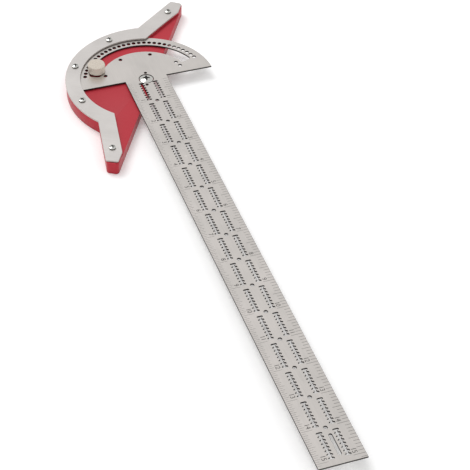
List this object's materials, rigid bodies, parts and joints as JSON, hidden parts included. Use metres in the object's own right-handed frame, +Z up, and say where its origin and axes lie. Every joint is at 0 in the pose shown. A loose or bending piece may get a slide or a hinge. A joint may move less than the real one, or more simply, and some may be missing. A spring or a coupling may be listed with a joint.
{
  "type": "protractor t-square",
  "caption": "Protractor T-square: a slotted steel rule with a half-disc end swings under a curved steel frame on a horned red aluminium head and is held by a lock knob.",
  "frame": {"origin": "on the pivot axis, at the head's flat underside", "axes": "+X along the fence, +Y from the fence into the rounded head, +Z up through the pivot screw"},
  "size_m": [0.4395, 0.272, 0.0164],
  "materials": {
    "red_aluminium": "satin red anodised",
    "satin_steel": "satin stainless sheet",
    "bright_steel": "bright nickel plate",
    "knob_metal": "warm nickel plate with a fine knurl"
  },
  "bodies": {
    "head": {"head_body": "red_aluminium", "cover_frame": "satin_steel", "frame_screw_1": "bright_steel", "frame_screw_2": "bright_steel", "frame_screw_3": "bright_steel", "frame_screw_4": "bright_steel", "frame_screw_5": "bright_steel", "pivot_screw": "bright_steel"},
    "rule": {"protractor_rule": "satin_steel"},
    "knob": {"lock_knob": "knob_metal"}
  },
  "joints": [
    {"name": "blade_swing", "type": "hinge", "parent": "head", "child": "rule", "pos_m": [0, 0, 0.0088], "axis": [0, 0, 1], "range_deg": [-7, 125]},
    {"name": "lock_knob_turn", "type": "hinge", "parent": "head", "child": "knob", "pos_m": [0, 0.0381, 0.0097], "axis": [0, 0, 1], "range_deg": [0, 360]}
  ]
}
